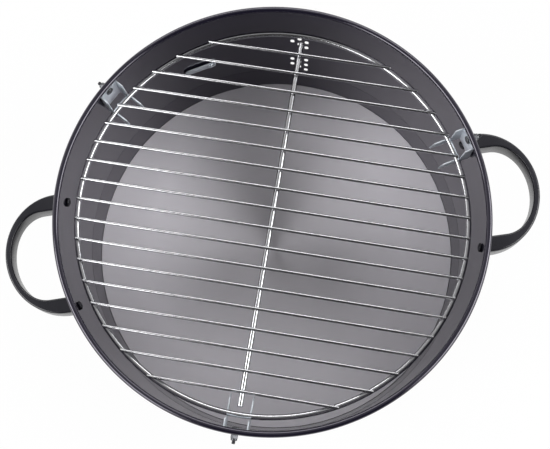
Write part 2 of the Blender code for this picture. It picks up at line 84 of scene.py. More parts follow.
# Finishes: each surface varies between two colours and between two roughnesses
ENAMEL_COLOURS = ((0.0055, 0.0045, 0.0110), (0.0085, 0.0073, 0.0150))
ENAMEL_ROUGHNESS = (0.09, 0.12)
ENAMEL_REFLECTION = (0.93, 0.89, 1.0)
STEEL_COLOURS = ((0.85, 0.825, 0.875), (0.93, 0.905, 0.955))
STEEL_ROUGHNESS = (0.55, 0.59)
# Painted shade: the fire plate's colour darkens towards its middle, within this radius, to paint a
# dimmer reflection there
PAINTED_SHADE_STEEL = (0.50, 0.485, 0.515)
PAINTED_SHADE_RADIUS = 0.120
CHROME_COLOURS = ((0.455, 0.455, 0.47), (0.585, 0.585, 0.60))
CHROME_ROUGHNESS = (0.23, 0.16)
BRIGHT_ZINC_COLOURS = ((0.66, 0.71, 0.76), (0.80, 0.85, 0.90))
BRIGHT_ZINC_ROUGHNESS = (0.36, 0.46)
GREY_ZINC_COLOURS = ((0.055, 0.057, 0.064), (0.12, 0.123, 0.13))
GREY_ZINC_ROUGHNESS = (0.28, 0.38)
DARK_STEEL_COLOURS = ((0.025, 0.025, 0.030), (0.12, 0.12, 0.13))
DARK_STEEL_ROUGHNESS = (0.28, 0.42)
PLASTIC_COLOURS = ((0.0115, 0.0112, 0.0160), (0.0170, 0.0166, 0.0220))
PLASTIC_ROUGHNESS = (0.22, 0.28)

# Texture of the finishes: features per metre
ENAMEL_CLOUDS = 22.0
ENAMEL_PEEL = 900.0
ENAMEL_GRAIN = 4200.0
STEEL_CLOUDS = 9.0
CHROME_SPOTS = 260.0
ZINC_SPANGLES = 420.0
ZINC_CLOUDS = 160.0
DARK_STEEL_WEAR = 700.0
PLASTIC_CLOUDS = 40.0
PLASTIC_SKIN = 2600.0

# Values between which a noise mostly lies, and the shares of two textures in the zinc's tone
NOISE_LOW = 0.3
NOISE_HIGH = 0.7
ZINC_SPANGLE_SHARE = 0.42
ZINC_CLOUD_SHARE = 0.8

# Smoothness: sides and steps of round forms, and how far an edge turns before it is shaded sharp
# or rounded
TURNED_STEPS = 288
WIRE_SIDES = 20
SCREW_SIDES = 40
NUT_SIDES = 72
HANDLE_STEPS = 64
WALL_ROWS = 16
BEAD_STEPS = 36
OUTER_BEND_STEPS = 8
INNER_BEND_STEPS = 6
SHEET_END_STEPS = 4
PLATE_EDGE_STEPS = 5
WIRE_END_STEPS = 3
SLOT_END_STEPS = 12
CLIP_END_STEPS = 24
HEAD_STEPS = 7
RIVET_STEPS = 9
SMOOTH_DEG = 35.0
WIRE_SMOOTH_DEG = 50.0
NUT_SMOOTH_DEG = 25.0
EDGE_LIMIT_DEG = 40.0
EDGE_SEGMENTS = 2
MERGE_DISTANCE = 1e-6
AXIS_TOLERANCE = 1e-9

# Sheets and clearances
WALL_SHEET = 0.0008
PAN_SHEET = 0.0008
BRACKET_SHEET = 0.0010
CLEARANCE = 0.0003

# Bowl wall
RIM_RADIUS = 0.175
RIM_BEAD_RADIUS = 0.0025
BOWL_HEIGHT = 0.175
WALL_TAPER = math.radians(3.35)
FOOT_WIDTH = 0.006
FOOT_BEND_RADIUS = 0.0015
BEAD_ROLL_DEG = 300

# Bottom pan and fire plate
PAN_FLOOR_HEIGHT = 0.0094
PAN_FLANGE_TOP = 0.0421
PAN_CORNER_RADIUS = 0.0004
PAN_LIP_SHEET = 0.00006
PAN_LIP_GAP = 0.00002
PAN_CORNER_FILL = 0.0002
FIRE_PLATE_SHEET = 0.0010
FIRE_PLATE_EDGE = 0.00012

# Vents: SLOT_ROWS gives each column's rows, and both are counted from the middle of a group
VENT_ANGLE = math.radians(74)
VENT_HEIGHTS = (0.0583, 0.1075)
SLOT_ROWS = {-1: (-1, 0, 1), 0: (-0.5, 0.5), 1: (0, 1)}
SLOT_WIDTH = 0.0035
SLOT_LENGTH = 0.0070
SLOT_COLUMN_PITCH = 0.0063
SLOT_ROW_PITCH = 0.0109

# Cooking grate: a weld has a half-size along X, Y and Z
RING_RADIUS = RIM_RADIUS - 0.016
RING_WIRE_RADIUS = 0.00225
BAR_WIRE_RADIUS = 0.0013
SPINE_WIRE_RADIUS = 0.0021
BAR_COUNT = 18
BAR_EDGE_SPACE = 0.0179
BAR_ANGLE = math.radians(-17.5)
BAR_OVERHANG = 0.0016
SPINE_END_SPACE = 0.006
GRATE_HEIGHT = BOWL_HEIGHT - 0.0225
WIRE_END_ROUNDING = 0.45
RING_WELD = (0.0015, 0.0015, 0.0010)
SPINE_WELD = (0.0016, 0.0016, 0.0009)

# Brackets
BRACKET_ANGLES = {
    "right": math.radians(13.1),
    "rear": math.radians(133.5),
    "front": math.radians(252.6),
}
BRACKET_WIDTH = 0.0195
BRACKET_BEND_RADIUS = 0.0015
BRACKET_TOP = BOWL_HEIGHT - 0.0056
BRACKET_PLATE_HEIGHT = 0.0300
BRACKET_SHOULDER = 0.0018
BRACKET_ARM_LENGTH = 0.0095
BRACKET_ARM_DROP = 0.0006
BRACKET_TIP_SLOPE = 0.0035
BRACKET_TIP_FALL = 0.0060
BRACKET_TIP_HEIGHT = 0.0020
BRACKET_EDGE = 0.00012

# Bracket screws and nuts: a head has a radius and a height
BRACKET_SCREW_RADIUS = 0.0015
BRACKET_SCREW_PITCH = 0.0005
BRACKET_SCREW_HEAD = (0.0033, 0.0018)
BRACKET_SCREW_LENGTH = 0.0116
BRACKET_SCREW_HEIGHT = BOWL_HEIGHT - 0.0100
NUT_FLATS = 0.0055
NUT_HEIGHT = 0.0045
NUT_HEX_SHARE = 0.68
NUT_FACE_SHARE = 0.96
NUT_SHOULDER_SHARE = 0.97
NUT_COLLAR_SHARE = 0.93
NUT_COLLAR_EDGE_SHARE = 0.94
NUT_COLLAR_END_SHARE = 0.84
NUT_CHAMFER = 0.0003
NUT_COLLAR_EDGE = 0.0002
NUT_BORE_SLACK = 0.00005

# Handle screws
HANDLE_SCREW_RADIUS = 0.0020
HANDLE_SCREW_PITCH = 0.0007
HANDLE_SCREW_HEAD = (0.0037, 0.0024)
HANDLE_SCREW_LENGTH = 0.0090

# Threads, heads and cross recesses of all the screws: a head's dome rises from its rim along an
# oval, up to a small and nearly flat top
THREAD_DEPTH_SHARE = 0.6
THREAD_FLANK = 1.6
THREAD_ROOT = 0.2
THREAD_END_SHARE = 0.2
THREAD_ROWS = 8
SHANK_OVERLAP = 0.0001
HEAD_RIM_SHARE = 0.35
HEAD_DOME_DEG = 84
HEAD_EDGE = 0.0002
RECESS_WIDTH = 0.0009
RECESS_DEPTH = 0.0009
RECESS_SHARE = 1.1

# Handles
HANDLE_STANDOFF = 0.0455
HANDLE_HALF_WIDTH = 0.0498
HANDLE_ROOT_THICKNESS = 0.013
HANDLE_GRIP_THICKNESS = 0.005
HANDLE_OPENING_OFFSET = 0.013
HANDLE_HEIGHT = 0.020
HANDLE_MID_HEIGHT = BOWL_HEIGHT - 0.0390
HANDLE_EDGE_RADIUS = 0.0016
HANDLE_EDGE_SEGMENTS = 5
HANDLE_EDGE_LIMIT_DEG = 60.0
HANDLE_SCREW_ANGLE = math.radians(14.8)
HANDLE_FORWARD_TURN = math.radians(0.5)

# Clip and its rivet
CLIP_ANGLE = math.radians(105.2)
CLIP_HEIGHT = 0.0835
CLIP_TILT = math.radians(9)
CLIP_LENGTH = 0.030
CLIP_WIDTH = 0.009
CLIP_SHEET = 0.0010
CLIP_EDGE = 0.00015
RIVET_RADIUS = 0.0016
RIVET_HEAD_RADIUS = 0.0032
RIVET_HEAD_HEIGHT = 0.0014
RIVET_INSET = 0.0050

# Places that follow from the sizes above
BEAD_CENTRE = (RIM_RADIUS - RIM_BEAD_RADIUS, BOWL_HEIGHT - RIM_BEAD_RADIUS)
WALL_TOP_RADIUS = RIM_RADIUS - WALL_SHEET
BAR_PITCH = 2 * (RING_RADIUS - BAR_EDGE_SPACE) / (BAR_COUNT - 1)
BAR_HEIGHT = GRATE_HEIGHT + RING_WIRE_RADIUS + CLEARANCE + BAR_WIRE_RADIUS
BAR_END_RADIUS = RING_RADIUS + BAR_OVERHANG
SPINE_HEIGHT = BAR_HEIGHT - BAR_WIRE_RADIUS - CLEARANCE - SPINE_WIRE_RADIUS
SPINE_LENGTH = 2 * (RING_RADIUS - SPINE_END_SPACE)
PAN_FLOOR_TOP = PAN_FLOOR_HEIGHT + PAN_SHEET
HANDLE_CENTRES = {"right": -HANDLE_FORWARD_TURN, "left": math.pi + HANDLE_FORWARD_TURN}
CUT_MARGIN = 0.010


def wall_inner_radius(height):
    """Inside radius of the tapered wall at a height above the floor."""
    return WALL_TOP_RADIUS - (BEAD_CENTRE[1] - height) * math.tan(WALL_TAPER)


def oval(centre, radii, start_deg, end_deg, steps):
    """Points along part of an oval in a plane, both ends included."""
    points = []
    for i in range(steps + 1):
        angle = math.radians(start_deg + (end_deg - start_deg) * i / steps)
        x = centre[0] + radii[0] * math.cos(angle)
        y = centre[1] + radii[1] * math.sin(angle)
        points.append((x, y))
    return points


def arc(centre, radius, start_deg, end_deg, steps):
    """Points along a circular arc in a plane, both ends included."""
    return oval(centre, (radius, radius), start_deg, end_deg, steps)


def polar(angle):
    """Unit vector in the floor plane at an angle from +X."""
    return Vector((math.cos(angle), math.sin(angle), 0.0))


def radial_frame(angle, radius=0.0, height=0.0):
    """Frame whose X points outward from the axis at an angle, Y along the wall and Z up."""
    place = polar(angle) * radius + Vector((0, 0, height))
    return Matrix.Translation(place) @ Matrix.Rotation(angle, 4, "Z")


def inward_frame(angle, radius, height):
    """Frame whose Z points from the wall towards the bowl's axis."""
    return radial_frame(angle, radius, height) @ Matrix.Rotation(-math.pi / 2, 4, "Y")


# Mesh making


def tidy_mesh(work, name, smooth_deg=SMOOTH_DEG):
    """Turn a worked shape into a mesh, smooth except at edges sharper than an angle."""
    bmesh.ops.remove_doubles(work, verts=work.verts, dist=MERGE_DISTANCE)
    bmesh.ops.recalc_face_normals(work, faces=work.faces)
    mesh = bpy.data.meshes.new(name)
    work.to_mesh(mesh)
    work.free()
    mesh.shade_smooth()
    mesh.set_sharp_from_angle(angle=math.radians(smooth_deg))
    return mesh


def lofted_mesh(name, rings, closed=False, smooth_deg=SMOOTH_DEG):
    """Skin through equal rings of points; the first and last are joined if closed, else capped."""
    work = bmesh.new()
    loops = [[work.verts.new(point) for point in ring] for ring in rings]
    count = len(loops[0])
    pairs = list(zip(loops, loops[1:]))
    if closed:
        pairs.append((loops[-1], loops[0]))
    for low, high in pairs:
        for i in range(count):
            j = (i + 1) % count
            work.faces.new((low[i], low[j], high[j], high[i]))
    if not closed:
        work.faces.new(loops[0])
        work.faces.new(loops[-1])
    return tidy_mesh(work, name, smooth_deg)


def turned_mesh(name, profile, closed=False, steps=TURNED_STEPS):
    """Solid of revolution about Z from (radius, height) points; ends on the axis close it."""
    turns = [math.tau * i / steps for i in range(steps)]
    work = bmesh.new()
    loops = []
    for radius, height in profile:
        ring = [(radius * math.cos(t), radius * math.sin(t), height) for t in turns]
        if radius < AXIS_TOLERANCE:
            ring = [(0.0, 0.0, height)]
        loops.append([work.verts.new(point) for point in ring])
    pairs = list(zip(loops, loops[1:]))
    if closed:
        pairs.append((loops[-1], loops[0]))
    for a, b in pairs:
        for i in range(steps):
            j = (i + 1) % steps
            if len(a) == 1:
                work.faces.new((a[0], b[j], b[i]))
            elif len(b) == 1:
                work.faces.new((a[i], a[j], b[0]))
            else:
                work.faces.new((a[i], a[j], b[j], b[i]))
    return tidy_mesh(work, name)


def sheet_section(middle, thickness):
    """Closed outline of a bent sheet from its middle line, with half-round ends."""
    half = thickness / 2
    sides = ([], [])
    last = len(middle) - 1
    for i, (x, y) in enumerate(middle):
        before = middle[max(i - 1, 0)]
        after = middle[min(i + 1, last)]
        run = Vector((after[0] - before[0], after[1] - before[1])).normalized()
        sides[0].append((x - run.y * half, y + run.x * half))
        sides[1].append((x + run.y * half, y - run.x * half))
    ends = []
    for i, neighbour in ((last, last - 1), (0, 1)):
        x, y = middle[i]
        away = math.degrees(math.atan2(y - middle[neighbour][1], x - middle[neighbour][0]))
        ends.append(arc((x, y), half, away + 90, away - 90, SHEET_END_STEPS)[1:-1])
    return sides[0] + ends[0] + sides[1][::-1] + ends[1]


def evaluated_mesh(obj, name):
    """The object's shape with its modifiers applied; the object itself is removed."""
    bpy.context.view_layer.update()
    source = obj.evaluated_get(bpy.context.evaluated_depsgraph_get())
    raw = bpy.data.meshes.new_from_object(source)
    work = bmesh.new()
    work.from_mesh(raw)
    bpy.data.objects.remove(obj)
    bpy.data.meshes.remove(raw)
    return tidy_mesh(work, name)


def scratch_object(mesh):
    """New object in the scene that holds a mesh."""
    obj = bpy.data.objects.new(mesh.name, mesh)
    bpy.context.scene.collection.objects.link(obj)
    return obj


def joined_mesh(name, meshes):
    """One mesh made of several, which are used up."""
    work = bmesh.new()
    for mesh in meshes:
        work.from_mesh(mesh)
        bpy.data.meshes.remove(mesh)
    result = bpy.data.meshes.new(name)
    work.to_mesh(result)
    work.free()
    return result


def cut_mesh(mesh, tools, name, operation="DIFFERENCE"):
    """Boolean of a mesh with a list of tool meshes, which are used up."""
    target = scratch_object(mesh)
    tool = scratch_object(joined_mesh(f"{name}_tool", tools))
    boolean = target.modifiers.new("Cut", "BOOLEAN")
    boolean.operation = operation
    boolean.solver = "EXACT"
    boolean.object = tool
    shape = evaluated_mesh(target, name)
    bpy.data.objects.remove(tool)
    return shape


def outline_mesh(name, outline, thickness):
    """Straight-sided solid in the XY plane, centred on Z = 0."""
    rings = [[(x, y, z) for x, y in outline] for z in (-thickness / 2, thickness / 2)]
    return lofted_mesh(name, rings)


def cylinder_mesh(name, radius, length, sides=SCREW_SIDES, top_radius=None):
    """Closed cylinder along Z, centred on the origin; a top radius makes it a cone."""
    work = bmesh.new()
    top = radius if top_radius is None else top_radius
    bmesh.ops.create_cone(
        work, cap_ends=True, segments=sides, radius1=radius, radius2=top, depth=length
    )
    return tidy_mesh(work, name)


def bevelled_mesh(mesh, name, width, segments=EDGE_SEGMENTS, limit_deg=EDGE_LIMIT_DEG):
    """The mesh with its edges rounded where they turn by more than a limit."""
    obj = scratch_object(mesh)
    bevel = obj.modifiers.new("Edges", "BEVEL")
    bevel.width = width
    bevel.segments = segments
    bevel.limit_method = "ANGLE"
    bevel.angle_limit = math.radians(limit_deg)
    return evaluated_mesh(obj, name)


def add_piece(name, mesh, body, material, slot, *nodes):
    """Place a finished mesh as a piece that rides on a body and stands for its plain nodes."""
    piece = bpy.data.objects.new(name, mesh)
    bpy.context.scene.collection.objects.link(piece)
    mesh.materials.clear()
    mesh.materials.append(material)
    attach(piece, body)
    for node in nodes:
        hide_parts(node)


# Finishes


class NodeGraph:
    """Short calls for building a tree of shader nodes."""

    def __init__(self, tree):
        self.tree = tree

    def node(self, kind, **settings):
        """New node with its settings."""
        made = self.tree.nodes.new(kind)
        for key, value in settings.items():
            setattr(made, key, value)
        return made

    def link(self, source, target):
        """Join an output to an input."""
        self.tree.links.new(source, target)

    def place(self):
        """Coordinates in metres that move with the piece."""
        return self.node("ShaderNodeTexCoord").outputs["Object"]

    def noise(self, scale, detail=3.0):
        """Noise with a number of features per metre."""
        noise = self.node("ShaderNodeTexNoise")
        noise.inputs["Scale"].default_value = scale
        noise.inputs["Detail"].default_value = detail
        self.link(self.place(), noise.inputs["Vector"])
        return noise.outputs["Fac"]

    def spread(self, value, low, high, start=NOISE_LOW, end=NOISE_HIGH, **settings):
        """Map a value between start and end onto low to high."""
        ramp = self.node("ShaderNodeMapRange", **settings)
        ramp.inputs["From Min"].default_value = start
        ramp.inputs["From Max"].default_value = end
        ramp.inputs["To Min"].default_value = low
        ramp.inputs["To Max"].default_value = high
        self.link(value, ramp.inputs["Value"])
        return ramp.outputs["Result"]

    def ease(self, value, band, low, high):
        """Change softly from low to high as a value crosses a band."""
        return self.spread(value, low, high, *band, interpolation_type="SMOOTHSTEP")

    def maths(self, operation, a, b=None):
        """Result of an operation on one or two values, each a number or a socket."""
        made = self.node("ShaderNodeMath", operation=operation)
        for socket, value in zip(made.inputs, (a, b)):
            if value is None:
                continue
            if isinstance(value, (int, float)):
                socket.default_value = value
            else:
                self.link(value, socket)
        return made.outputs[0]

    def mix(self, factor, first, second):
        """Blend two colours, each a tuple or a socket."""
        made = self.node("ShaderNodeMix", data_type="RGBA")
        self.link(factor, made.inputs["Factor"])
        for socket, value in ((made.inputs["A"], first), (made.inputs["B"], second)):
            if isinstance(value, tuple):
                socket.default_value = (*value, 1.0)
            else:
                self.link(value, socket)
        return made.outputs["Result"]

    def blend(self, value, colours, start=NOISE_LOW, end=NOISE_HIGH):
        """Go from the first colour to the second as a value goes from start to end."""
        return self.mix(self.spread(value, 0.0, 1.0, start, end), *colours)

    def bump(self, height, distance, strength, after=None):
        """Surface relief from a height, on top of an earlier relief if there is one."""
        made = self.node("ShaderNodeBump")
        made.inputs["Strength"].default_value = strength
        made.inputs["Distance"].default_value = distance
        self.link(height, made.inputs["Height"])
        if after is not None:
            self.link(after, made.inputs["Normal"])
        return made.outputs["Normal"]

    def seen(self):
        """1 for what the camera sees, directly or mirrored or through glass, else 0."""
        paths = self.node("ShaderNodeLightPath").outputs
        direct = self.maths("MAXIMUM", paths["Is Camera Ray"], paths["Is Glossy Ray"])
        return self.maths("MAXIMUM", direct, paths["Is Transmission Ray"])


class Finish(NodeGraph):
    """The nodes of one material."""

    def __init__(self, name):
        self.material = bpy.data.materials.new(name)
        self.material.use_nodes = True
        super().__init__(self.material.node_tree)
        self.shader = self.tree.nodes["Principled BSDF"]

    def set(self, **values):
        """Set or link the shader's sockets by plain names."""
        names = {
            "colour": "Base Color",
            "metallic": "Metallic",
            "roughness": "Roughness",
            "level": "Specular IOR Level",
            "reflection": "Specular Tint",
            "anisotropic": "Anisotropic",
            "grain_turn": "Anisotropic Rotation",
            "normal": "Normal",
            "tangent": "Tangent",
        }
        for key, value in values.items():
            socket = self.shader.inputs[names[key]]
            if isinstance(value, tuple):
                socket.default_value = (*value, 1.0)
            elif isinstance(value, (int, float)):
                socket.default_value = value
            else:
                self.link(value, socket)
        return self.material


def black_enamel():
    """Baked enamel on sheet steel: bluish black, satin gloss, faint orange peel and grain."""
    graph = Finish("black_enamel")
    cloud = graph.noise(ENAMEL_CLOUDS)
    peel = graph.noise(ENAMEL_PEEL, detail=2.0)
    grain = graph.noise(ENAMEL_GRAIN, detail=1.0)
    relief = graph.bump(peel, distance=0.00003, strength=0.35)
    relief = graph.bump(grain, distance=0.000006, strength=0.3, after=relief)
    return graph.set(
        colour=graph.blend(cloud, ENAMEL_COLOURS),
        roughness=graph.spread(cloud, *ENAMEL_ROUGHNESS),
        level=0.8,
        reflection=ENAMEL_REFLECTION,
        normal=relief,
    )


def brushed_steel():
    """Bare steel, cloudy, with a fine grain round its centre and a middle painted darker as painted
    shade.
    """
    graph = Finish("bare_steel")
    cloud = graph.noise(STEEL_CLOUDS, detail=2.0)
    flat = graph.node("ShaderNodeVectorMath", operation="MULTIPLY")
    flat.inputs[1].default_value = (1.0, 1.0, 0.0)
    graph.link(graph.place(), flat.inputs[0])
    radius = graph.node("ShaderNodeVectorMath", operation="LENGTH")
    graph.link(flat.outputs["Vector"], radius.inputs[0])
    # Painted shade: the colour goes darker towards the plate's middle, to paint a dimmer reflection
    # there
    plain_tone = graph.blend(cloud, STEEL_COLOURS)
    colours = (PAINTED_SHADE_STEEL, plain_tone)
    tangent = graph.node("ShaderNodeTangent", direction_type="RADIAL", axis="Z")
    return graph.set(
        colour=graph.blend(radius.outputs["Value"], colours, start=0.0, end=PAINTED_SHADE_RADIUS),
        metallic=0.85,
        roughness=graph.spread(cloud, *STEEL_ROUGHNESS),
        anisotropic=0.8,
        grain_turn=0.25,
        tangent=tangent.outputs["Tangent"],
    )


def chrome_wire():
    """Bright plated wire with small dull spots."""
    graph = Finish("chrome_wire")
    spots = graph.noise(CHROME_SPOTS, detail=4.0)
    return graph.set(
        colour=graph.blend(spots, CHROME_COLOURS),
        metallic=1.0,
        roughness=graph.spread(spots, *CHROME_ROUGHNESS),
        normal=graph.bump(spots, distance=0.00004, strength=0.2),
    )


def zinc_plate(name, colours, roughness):
    """Zinc plating with a soft spangle between two colours."""
    graph = Finish(name)
    cells = graph.node("ShaderNodeTexVoronoi")
    cells.inputs["Scale"].default_value = ZINC_SPANGLES
    graph.link(graph.place(), cells.inputs["Vector"])
    cloud = graph.noise(ZINC_CLOUDS)
    spangle = graph.maths("MULTIPLY", cells.outputs["Distance"], ZINC_SPANGLE_SHARE)
    tone = graph.maths("ADD", graph.maths("MULTIPLY", cloud, ZINC_CLOUD_SHARE), spangle)
    return graph.set(
        colour=graph.blend(tone, colours, start=0.2, end=0.9),
        metallic=0.75,
        roughness=graph.spread(cloud, *roughness),
        normal=graph.bump(cloud, distance=0.00005, strength=0.2),
    )


def dark_steel():
    """Blackened steel of the handle screws, with small worn spots."""
    graph = Finish("dark_steel")
    wear = graph.noise(DARK_STEEL_WEAR, detail=4.0)
    return graph.set(
        colour=graph.blend(wear, DARK_STEEL_COLOURS, start=0.45, end=0.75),
        metallic=0.85,
        roughness=graph.spread(wear, *DARK_STEEL_ROUGHNESS),
        normal=graph.bump(wear, distance=0.00005, strength=0.2),
    )


def handle_black():
    """Moulded black heat-proof plastic with a fine skin texture."""
    graph = Finish("handle_black")
    skin = graph.noise(PLASTIC_SKIN, detail=2.0)
    cloud = graph.noise(PLASTIC_CLOUDS)
    return graph.set(
        colour=graph.blend(cloud, PLASTIC_COLOURS),
        roughness=graph.spread(cloud, *PLASTIC_ROUGHNESS),
        normal=graph.bump(skin, distance=0.00001, strength=0.35),
    )


# Pieces


def vent_slots():
    """Cutter meshes for the two groups of slots, each with three staggered columns."""
    radius = SLOT_WIDTH / 2
    reach = SLOT_LENGTH / 2 - radius
    outline = arc((0, reach), radius, 0, 180, SLOT_END_STEPS)
    outline += arc((0, -reach), radius, 180, 360, SLOT_END_STEPS)
    upright = Matrix.Rotation(math.pi / 2, 4, "Z") @ Matrix.Rotation(math.pi / 2, 4, "X")
    slots = []
    for height in VENT_HEIGHTS:
        wall = wall_inner_radius(height)
        for column, rows in SLOT_ROWS.items():
            angle = VENT_ANGLE + column * SLOT_COLUMN_PITCH / wall
            for row in rows:
                slot = outline_mesh("slot", outline, CUT_MARGIN)
                slot.transform(radial_frame(angle, wall, height + row * SLOT_ROW_PITCH) @ upright)
                slots.append(slot)
    return slots


def handle_screw_frames(side):
    """Frames of one handle's two screws, Z pointing inward from the wall's inner face."""
    seat = wall_inner_radius(HANDLE_MID_HEIGHT) - CLEARANCE
    rearward = {"right": 1, "left": -1}[side]
    frames = {}
    for end, sign in (("front", -1), ("rear", 1)):
        angle = HANDLE_CENTRES[side] + sign * rearward * HANDLE_SCREW_ANGLE
        frames[end] = inward_frame(angle, seat, HANDLE_MID_HEIGHT)
    return frames


def clip_back():
    """Distance from the axis to the clip's flat back, whose corners just clear the wall."""
    wall = wall_inner_radius(CLIP_HEIGHT)
    drop = (CLIP_WIDTH / 2 + CLIP_LENGTH / 2 * math.sin(CLIP_TILT)) * math.tan(WALL_TAPER)
    return math.sqrt((wall - drop - CLEARANCE) ** 2 - (CLIP_LENGTH / 2) ** 2)


def clip_frame(radius):
    """Frame at the clip's middle, at a distance from the axis: X outward, Y along the strip."""
    return radial_frame(CLIP_ANGLE, radius, CLIP_HEIGHT) @ Matrix.Rotation(CLIP_TILT, 4, "X")


def rivet_frame(clip):
    """Frame of the rivet near one end of a clip's frame, Z pointing inward."""
    inset = Matrix.Translation((0.0, RIVET_INSET - CLIP_LENGTH / 2, 0.0))
    return clip @ inset @ Matrix.Rotation(-math.pi / 2, 4, "Y")


def round_tool(frame, radius, length=CUT_MARGIN):
    """Cutter for a round hole along a frame's Z."""
    tool = cylinder_mesh("round_tool", radius, length)
    tool.transform(frame)
    return tool


def wall_holes():
    """Cutter meshes for the screw and rivet holes in the wall."""
    tools = []
    seat = wall_inner_radius(BRACKET_SCREW_HEIGHT)
    for angle in BRACKET_ANGLES.values():
        frame = inward_frame(angle, seat, BRACKET_SCREW_HEIGHT)
        tools.append(round_tool(frame, BRACKET_SCREW_RADIUS + CLEARANCE))
    for side in ("left", "right"):
        for frame in handle_screw_frames(side).values():
            tools.append(round_tool(frame, HANDLE_SCREW_RADIUS + CLEARANCE))
    rivet = rivet_frame(clip_frame(clip_back() - CLIP_SHEET / 2))
    tools.append(round_tool(rivet, RIVET_RADIUS + CLEARANCE))
    return tools


def wall_middle_line():
    """Middle of the wall's sheet from the turned-in foot up and round the rolled rim."""
    half = WALL_SHEET / 2
    foot_outer = wall_inner_radius(FOOT_BEND_RADIUS) + half
    bend_middle = FOOT_BEND_RADIUS - half
    foot_centre = (foot_outer - bend_middle, FOOT_BEND_RADIUS)
    middle = [(wall_inner_radius(0.0) + WALL_SHEET - FOOT_WIDTH, half)]
    middle += arc(foot_centre, bend_middle, -90, 0, INNER_BEND_STEPS)
    low = FOOT_BEND_RADIUS
    for i in range(1, WALL_ROWS):
        height = low + (BEAD_CENTRE[1] - low) * i / WALL_ROWS
        middle.append((wall_inner_radius(height) + half, height))
    middle += arc(BEAD_CENTRE, RIM_BEAD_RADIUS - half, 0, BEAD_ROLL_DEG, BEAD_STEPS)
    return middle


def make_wall(enamel):
    """Tapered sheet wall with a rolled rim, a turned-in foot, vents and holes."""
    section = sheet_section(wall_middle_line(), WALL_SHEET)
    mesh = turned_mesh("rolled_wall", section, closed=True)
    mesh = cut_mesh(mesh, vent_slots() + wall_holes(), "enamel_wall")
    add_piece("enamel_wall", mesh, "bowl", enamel, "black_enamel", "bowl_wall")


def pan_floor_radius():
    """Radius of the pan's flat floor, inside its bent corner."""
    corner_outer = wall_inner_radius(PAN_FLOOR_TOP + PAN_CORNER_RADIUS) - CLEARANCE
    return corner_outer - PAN_SHEET - PAN_CORNER_RADIUS


def make_pan(enamel):
    """Dish, filled in up to the fire plate, whose flange thins to a fine edge at the wall."""
    lip = wall_inner_radius(PAN_FLANGE_TOP) - PAN_LIP_GAP
    floor = pan_floor_radius()
    corner = (floor, PAN_FLOOR_TOP + PAN_CORNER_RADIUS)
    profile = [(0.0, PAN_FLOOR_TOP), (floor - PAN_CORNER_FILL, PAN_FLOOR_TOP)]
    profile += [(lip - PAN_LIP_SHEET, PAN_FLANGE_TOP), (lip, PAN_FLANGE_TOP)]
    profile += arc(corner, PAN_CORNER_RADIUS + PAN_SHEET, 0, -90, OUTER_BEND_STEPS)
    profile += [(0.0, PAN_FLOOR_HEIGHT)]
    mesh = turned_mesh("enamel_pan", profile)
    add_piece("enamel_pan", mesh, "bowl", enamel, "pan_enamel", "bottom_pan")


def make_fire_plate(steel):
    """Bare disc with a rounded edge."""
    low = PAN_FLOOR_TOP + CLEARANCE
    top = low + FIRE_PLATE_SHEET
    radius = pan_floor_radius() - CLEARANCE
    edge = FIRE_PLATE_EDGE
    profile = [(0.0, top), (radius / 2, top)]
    profile += arc((radius - edge, top - edge), edge, 90, 0, PLATE_EDGE_STEPS)
    profile += arc((radius - edge, low + edge), edge, 0, -90, PLATE_EDGE_STEPS)
    profile += [(radius / 2, low), (0.0, low)]
    mesh = turned_mesh("bare_fire_plate", profile)
    add_piece("bare_fire_plate", mesh, "bowl", steel, "bare_steel", "fire_plate")


def wire_mesh(name, radius, length):
    """Straight wire along X with slightly rounded ends."""
    rounding = radius * WIRE_END_ROUNDING
    end = arc((length / 2 - rounding, radius - rounding), rounding, 90, 0, WIRE_END_STEPS)
    path = [(-x, r) for x, r in reversed(end)] + end
    turns = [math.tau * i / WIRE_SIDES for i in range(WIRE_SIDES)]
    rings = [[(x, r * math.cos(t), r * math.sin(t)) for t in turns] for x, r in path]
    return lofted_mesh(name, rings, smooth_deg=WIRE_SMOOTH_DEG)


def weld_mesh(place, size):
    """Small flattened nugget of metal where two wires cross."""
    work = bmesh.new()
    bmesh.ops.create_icosphere(work, subdivisions=3, radius=1.0)
    bmesh.ops.scale(work, vec=size, verts=work.verts)
    bmesh.ops.translate(work, vec=place, verts=work.verts)
    return tidy_mesh(work, "weld")


def bar_middle(index, height):
    """Offset of a bar from the grate's middle and its middle point; bar 0 is the farthest."""
    offset = ((BAR_COUNT - 1) / 2 - index) * BAR_PITCH
    across = Vector((-math.sin(BAR_ANGLE), math.cos(BAR_ANGLE), 0.0))
    return offset, across * offset + Vector((0.0, 0.0, height))


def make_bars(chrome):
    """Parallel wires on the ring, each ending just outside it."""
    turn = Matrix.Rotation(BAR_ANGLE, 4, "Z")
    for index in range(BAR_COUNT):
        offset, middle = bar_middle(index, BAR_HEIGHT)
        length = 2 * math.sqrt(BAR_END_RADIUS**2 - offset**2)
        number = f"{index + 1:02d}"
        bar = wire_mesh(f"wire_bar_{number}", BAR_WIRE_RADIUS, length)
        bar.transform(Matrix.Translation(middle) @ turn)
        add_piece(f"wire_bar_{number}", bar, "grate", chrome, "chrome_wire", f"grate_bar_{number}")


def make_welds(chrome):
    """Nuggets where each bar crosses the ring twice and the spine once."""
    along = polar(BAR_ANGLE)
    welds = []
    for index in range(BAR_COUNT):
        offset, middle = bar_middle(index, GRATE_HEIGHT + RING_WIRE_RADIUS)
        reach = math.sqrt(RING_RADIUS**2 - offset**2)
        for side in (-1, 1):
            welds.append(weld_mesh(middle + along * (side * reach), RING_WELD))
        welds.append(weld_mesh(middle, SPINE_WELD))
    mesh = joined_mesh("wire_welds", welds)
    mesh.shade_smooth()
    add_piece("wire_welds", mesh, "grate", chrome, "chrome_wire")


